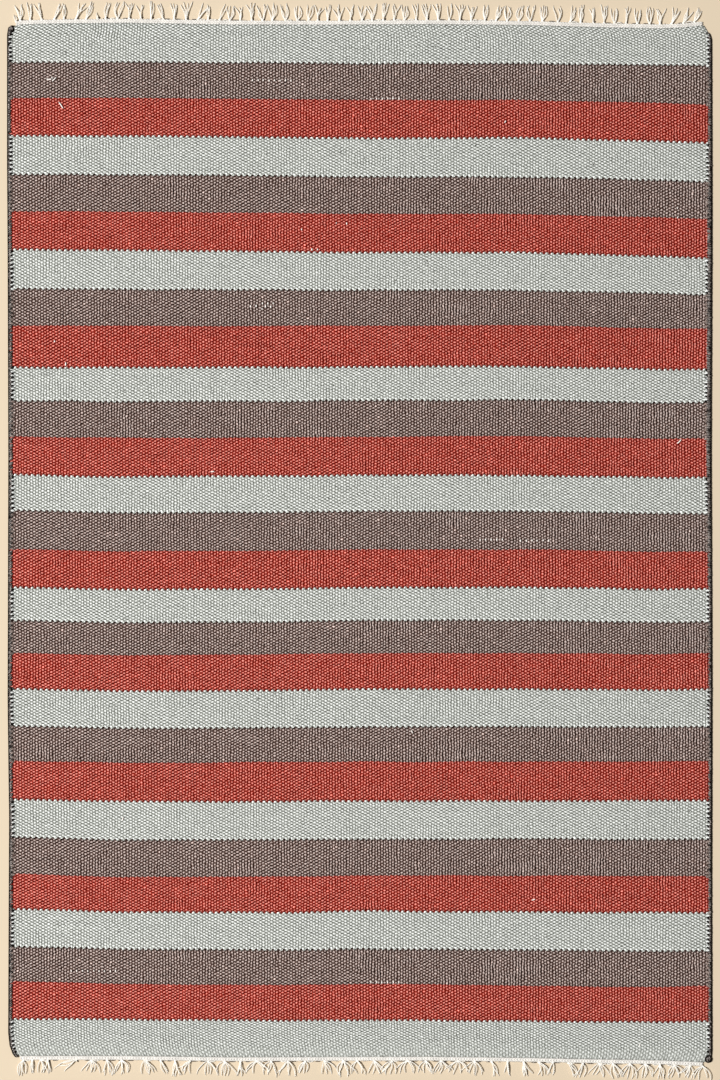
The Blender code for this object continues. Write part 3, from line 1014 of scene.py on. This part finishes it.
for name, side, cord in (("left", -1, LEFT_CORD), ("right", 1, RIGHT_CORD)):
    body = new_yarn_body()
    chance = random.Random(21 + side)
    bundle = new_yarn_body()
    core = []
    for point, _, out, size, _ in cord_walk(cord, side, STITCH_PITCH / 2):
        size *= chance.uniform(0.93, 1.05)
        spot = point + out * CORD_OUT[name] + UP * CORD_HEIGHT * CORD_MIDDLE * size
        core.append((spot, CORD_WIDTH * size, CORD_HEIGHT * size))
    core[0] = (core[0][0], 0, 0)
    core[-1] = (core[-1][0], 0, 0)
    lay_yarn(bundle, core, sides=8)
    edge_step = HALF_WARPS if side == 1 else 0
    stitches = enumerate(cord_walk(cord, side, STITCH_PITCH))
    for number, (point, run, out, size, reach) in stitches:
        slip = Vector((chance.gauss(0, 0.35), chance.gauss(0, 0.5), chance.gauss(0, 0.15)))
        stripe = sum(1 for line in woven_lines[1:-1] if point.y < line[edge_step]) % 3
        knotted = abs(point.y) > CORNER
        laid = [(STITCH, 1)]
        # a long stitch in a pale stripe gets its hole's painted shade, laid as black yarn
        if number % 2 == 0 and stripe == 0:
            laid.append((HOLE_SHADE, 0))
        elif number % 2 and stripe < 2 and not knotted:
            laid.append((TURN, 2 + stripe))
        for path, dye in laid:
            route = []
            for outward, height, along, width in path:
                outward -= reach * min(1.0, max(0.0, -outward / 0.8))
                spot = point + (out * outward + UP * height + run * along) * size + slip
                route.append((spot, width * size, STITCH_THICK * size * (1 if width else 0)))
            lay_yarn(bundle, route, sides=6, broad=run, dye=dye)
        if number % BUNDLE == BUNDLE - 1:
            join_yarn(body, bundle)
            bundle = new_yarn_body()
    # the yarn's end, knotted into a round button at the right-hand bottom corner, and its start,
    # wound a few turns round the left-hand top corner
    for place, along, width, length, height in KNOTS[name]:
        ball = bmesh.ops.create_uvsphere(bundle, u_segments=14, v_segments=9, radius=0.5)
        bmesh.ops.scale(bundle, vec=(width, length, height), verts=ball["verts"])
        bmesh.ops.translate(bundle, vec=(place, along, height / 2 + 0.3), verts=ball["verts"])
        coil_yarn(
            bundle, (place, along), radius=width * 0.3, yarn=2.6, turns=1.8,
            low=height * 0.8, high=height + 0.2,
        )
    join_yarn(body, bundle)
    finish_yarn(
        f"whipped_side_{name}", body, (black_wool_and_hole_shade, charcoal_wool, turned_wool, brown_turn),
        f"selvedge_{name}",
    )


# The flecks. Bits of undyed weft that show as white dots in the dark stripes, a few loose white
# fibres on the face, and dark specks of burr that were spun into the pale wool.

# In millimetres: how far apart the dots are, how high dots, fibres and burrs lie, how wide a
# fibre is, and how far from the rug's middle the burrs and the cloth's ends are
DOT_GAP = 9.6
DOT_HEIGHT = 4.7
FIBRE_HEIGHT = 5.4
FIBRE_WIDTH = 2.1
FIBRE_STEPS = 5
BURR_HEIGHT = 4.5
BURR_SPAN = 590
CLOTH_END = 880
BURR_COUNT = 100

# Lengths of undyed weft: place over the width where each starts and ends, place along the rug
# and the width of its grains
UNDYED_LENGTHS = (
    (-186, -119, 796.5, 2.1), (19, 66, 765, 2.2), (208, 248, 2.4, 2.3), (278, 327, 1, 2.2),
    (-499, -425, -743.5, 2.2), (19, 67, -762.5, 2.2), (-189, -179, 406, 2.3),
    (-169, -149, 411, 2.4), (-164, -154, 405.5, 2.6), (-169, -169, 401, 2),
    (484, 484, -872, 2), (-41, -41, 549.5, 1.5), (-23, -23, 549.3, 2.2),
    (-101, -101, 538.5, 1.8), (-83, -73, 504, 2.2), (549, 549, 576, 1.9), (549, 549, 559, 1.9),
    (-528, -528, 345, 2),
)

# Loose fibres: place over the width, place along the rug, length, heading in degrees
LOOSE_FIBRES = (
    (-528.6, 798.4, 13, 45), (-537.6, 798.2, 11, 0), (-532.4, 801, 5, 88),
    (-516.8, 753.1, 15, -52), (251, 725, 6, 60), (552, 172, 13, 45), (-255, 120, 8, 10),
    (90, -330, 7, -50), (-410, -480, 9, 75), (300, -620, 8, 20), (-509, 306, 8, 84),
)

# Wool that missed the dye, nearly white all over, as light goes through its loose fibre. Dry
# husk of burr, dull and dark brown.
undyed_wool = yarn_material(
    "undyed_white_wool", ("#e2d6ca", "#fff6ee", "#fffcf8"), twist_length=5.0, slub=(9, 0.95, 1.15),
)
burr_husk = plain_material("dark_brown_burr_husk", 0.8, "#2a1712")

chance = random.Random(5)
body = new_yarn_body()
bundle = new_yarn_body()
for start, end, along, width in UNDYED_LENGTHS:
    for number in range(round((end - start) / DOT_GAP) + 1):
        place = start + number * DOT_GAP + chance.uniform(-0.5, 0.5)
        height = width * chance.uniform(0.8, 1.1)
        middle = Vector((place, along + chance.uniform(-0.5, 0.5), DOT_HEIGHT))
        dot = [
            (middle + Vector((0.1, height, -0.2)), 0, 0),
            (middle + Vector((0, height * 0.6, 0.4)), width, 1.1),
            (middle + Vector((0, -height * 0.6, 0.4)), width, 1.1),
            (middle + Vector((-0.1, -height, -0.2)), 0, 0),
        ]
        lay_yarn(bundle, dot, sides=6)
for across, along, length, heading in LOOSE_FIBRES:
    way = math.radians(heading)
    fibre = []
    for step in range(FIBRE_STEPS + 1):
        share = step / FIBRE_STEPS
        spot = Vector((
            across + length * (share - 0.5) * math.cos(way) + math.sin(share * 5) * 0.3,
            along + length * (share - 0.5) * math.sin(way) + math.cos(share * 4) * 0.3,
            FIBRE_HEIGHT + 0.6 * math.sin(math.pi * share),
        ))
        size = 0 if step in (0, FIBRE_STEPS) else FIBRE_WIDTH
        fibre.append((spot, size, size * 0.5))
    lay_yarn(bundle, fibre, sides=5)
for _ in range(BURR_COUNT):
    # each burr lies in a pale stripe, clear of its edges
    stripe = chance.randrange(STRIPS) * 3
    above = STRIPE_LINES[stripe - 1] if stripe else CLOTH_END
    below = STRIPE_LINES[stripe] if stripe < len(STRIPE_LINES) else -CLOTH_END
    across = chance.uniform(-BURR_SPAN, BURR_SPAN)
    middle = Vector((across, chance.uniform(below + 12, above - 8), BURR_HEIGHT))
    way = Vector((chance.uniform(0.7, 1.8), chance.uniform(-1.0, 1.0), 0))
    width = chance.uniform(1.1, 2.0)
    burr = [(middle - way, 0, 0), (middle, width, 0.8), (middle + way, 0, 0)]
    lay_yarn(bundle, burr, sides=5, dye=1)
join_yarn(body, bundle)
flecks = finish_yarn("undyed_flecks", body, (undyed_wool, burr_husk), "cloth")

# The rug was woven in one piece, 1.21 m wide, so each stretch of it is a flat sheet that wide.
# This loop only looks up the colour lines that each strip starts and ends at.
for number, strip in enumerate(woven_strips):
    first, last = strip_lines(number)


# The floor, the light and the camera. A plain pale floor, a broad soft lamp high on the left, a
# faint even light from all round, and the camera straight overhead with a long lens.

# The length that the picture shows, in metres, and the lens and sensor in millimetres
FRAME_LENGTH = 1.869
LENS = 100.0
SENSOR = 36.0

# Plain paint, matt and pale tan
floor_paint = plain_material("painted_floor", 0.8, "#d1c0a7")

floor = bpy.data.meshes.new("floor")
body = bmesh.new()
bmesh.ops.create_grid(body, x_segments=1, y_segments=1, size=40.0)
body.to_mesh(floor)
body.free()
floor.materials.append(floor_paint)
ground = place_object("floor", floor)

world = bpy.data.worlds.new("studio")
bpy.context.scene.world = world
world.use_nodes = True
sky = world.node_tree.nodes["Background"]
sky.inputs["Color"].default_value = (1.0, 1.0, 1.0, 1.0)
sky.inputs["Strength"].default_value = 0.12

lamp = bpy.data.lights.new("soft_lamp", "AREA")
lamp.shape = "DISK"
lamp.size = 2.0
lamp.energy = 2110.0
lamp_object = place_object("soft_lamp", lamp)
lamp_object.location = (-6.2, -0.3, 10.8)
lamp_object.rotation_euler = (-lamp_object.location).to_track_quat("-Z", "Y").to_euler()

lens = bpy.data.cameras.new("overhead")
lens.lens = LENS
lens.sensor_width = SENSOR
lens.clip_end = 60.0
camera = place_object("overhead", lens)
camera.location = (0.0, 0.0017, FRAME_LENGTH * LENS / SENSOR)
bpy.context.scene.camera = camera
bpy.context.scene.view_settings.view_transform = "Standard"
